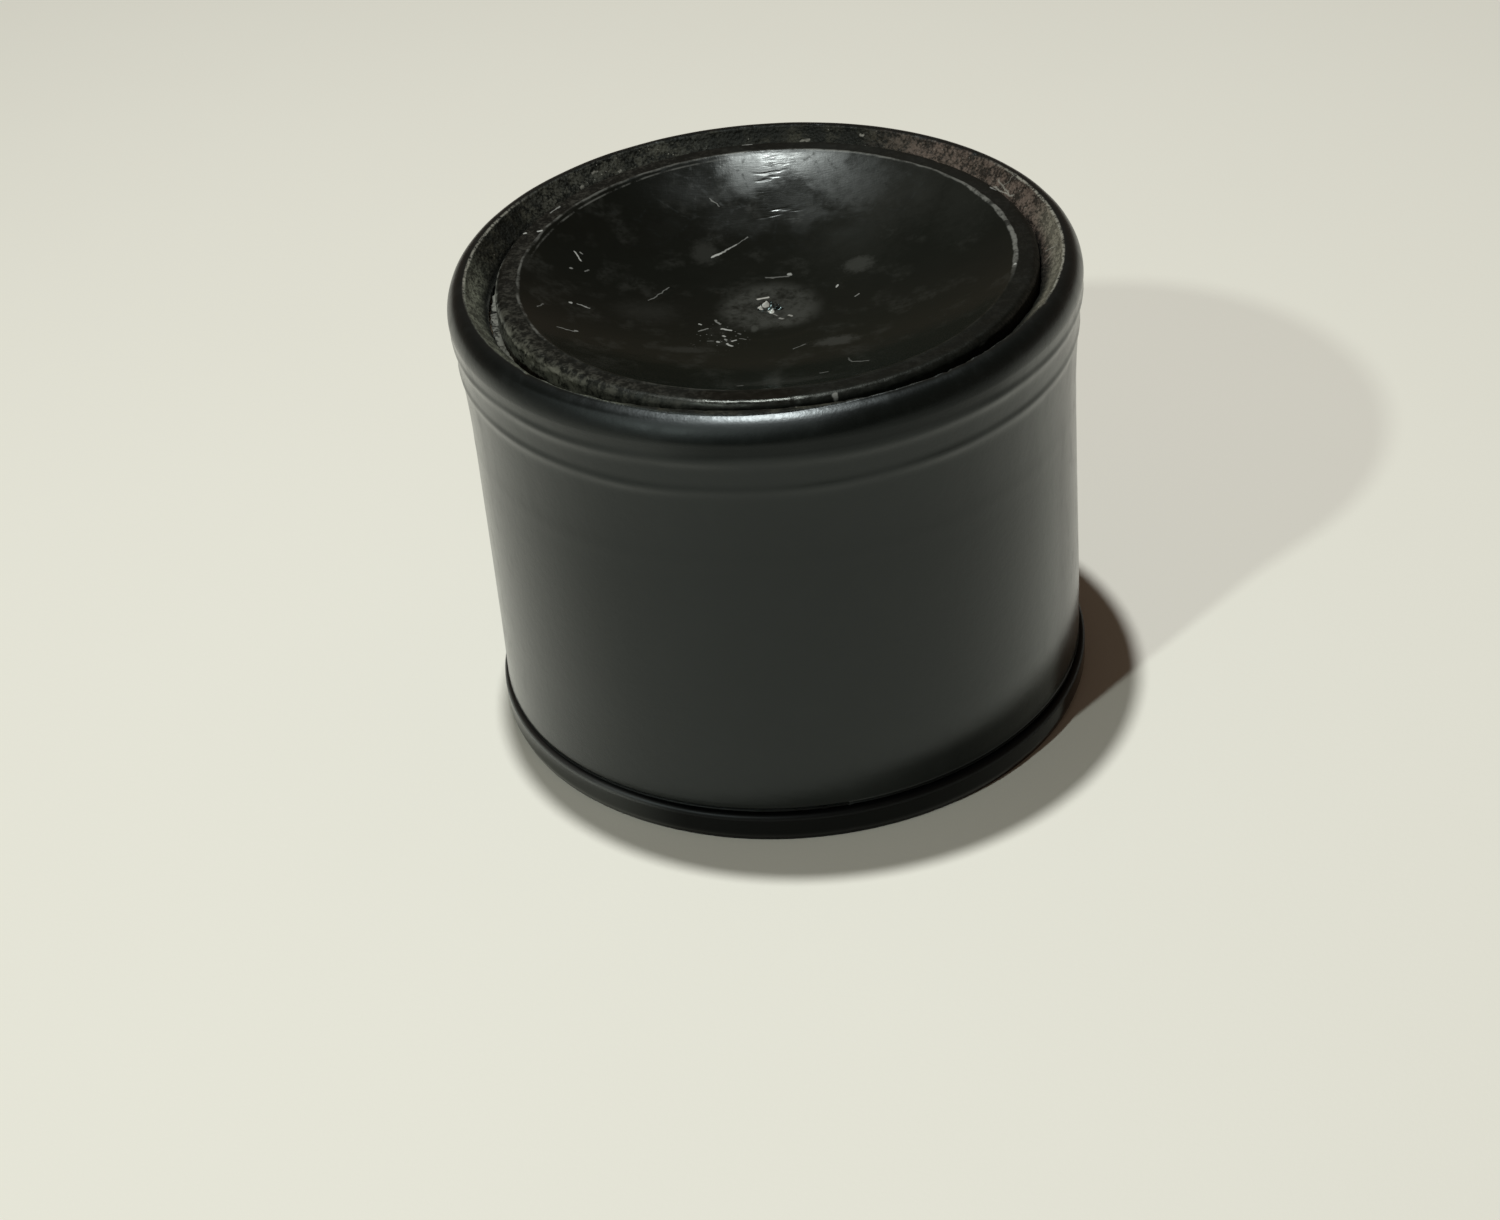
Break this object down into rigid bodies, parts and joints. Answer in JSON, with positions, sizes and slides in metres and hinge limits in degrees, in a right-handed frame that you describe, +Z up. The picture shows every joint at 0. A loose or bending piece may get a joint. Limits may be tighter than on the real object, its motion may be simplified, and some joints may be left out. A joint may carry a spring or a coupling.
{
  "type": "dice cup",
  "caption": "Round black leather dice cup standing mouth down: rolled rim and dished moulded base disc at the closed end, moulded lip ring at the mouth, felt-lined inside.",
  "frame": {"origin": "centre of the mouth's resting plane, where the lip ring stands on the table", "axes": "+Z up the cup's axis from the mouth to the closed end; +X and +Y are two equal sideways directions of a round part"},
  "size_m": [0.0906, 0.0906, 0.0702],
  "materials": {
    "black_leather": "smooth satin black, fine grain",
    "disc_moulding": "worn semi-gloss black, scratched and dusty",
    "lip_moulding": "smooth semi-gloss black",
    "fibreboard": "raw brown fibreboard",
    "cotton_cord": "twisted natural cotton",
    "black_felt": "pressed wool felt, charcoal"
  },
  "bodies": {
    "root": {"leather_sleeve": "black_leather", "rim_cord": "cotton_cord", "core_tube": "fibreboard", "base_disc": "disc_moulding", "lip_ring": "lip_moulding", "floor_board": "fibreboard", "felt_wall_lining": "black_felt", "felt_floor_pad": "black_felt"}
  },
  "joints": []
}
